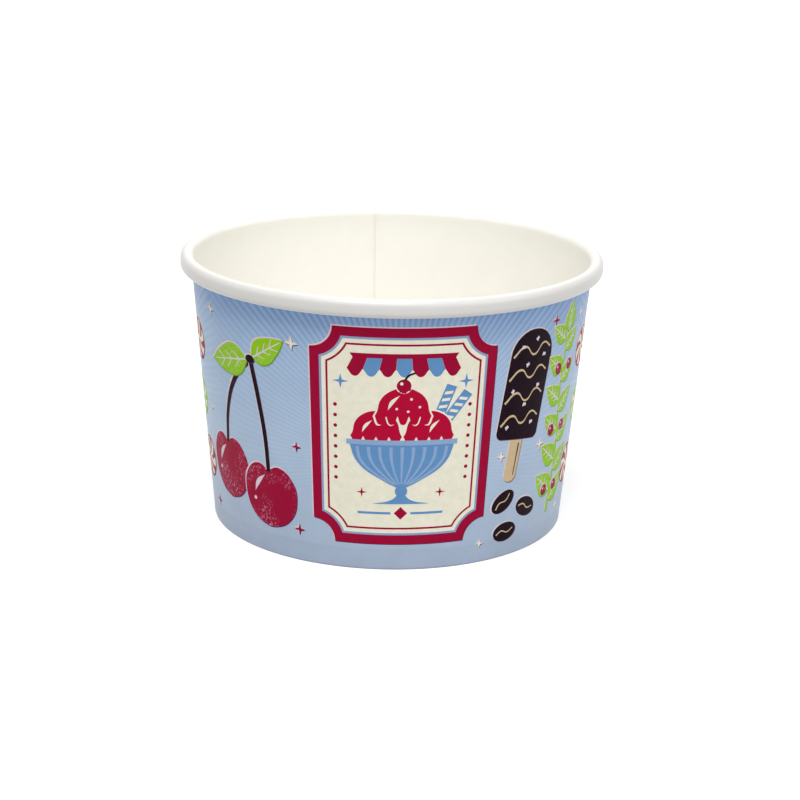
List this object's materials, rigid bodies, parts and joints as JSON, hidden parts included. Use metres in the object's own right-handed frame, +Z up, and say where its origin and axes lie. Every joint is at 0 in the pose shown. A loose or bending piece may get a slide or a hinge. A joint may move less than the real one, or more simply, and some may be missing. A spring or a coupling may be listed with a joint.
{
  "type": "paper dessert cup",
  "caption": "Squat round paper cup for ice cream or dessert, with a rolled rim, tapered printed wall, lapped side seam and recessed floor disc.",
  "frame": {"origin": "centre of the foot, on the surface the cup stands on", "axes": "+Z up along the cup's axis, -Y towards the front of the print, +Y towards the side seam, +X to the right seen from the front"},
  "size_m": [0.096, 0.096, 0.062],
  "materials": {
    "printed_board": "satin",
    "white_board": "satin"
  },
  "bodies": {
    "root": {"sidewall": "printed_board", "base_disc": "white_board"}
  },
  "joints": []
}
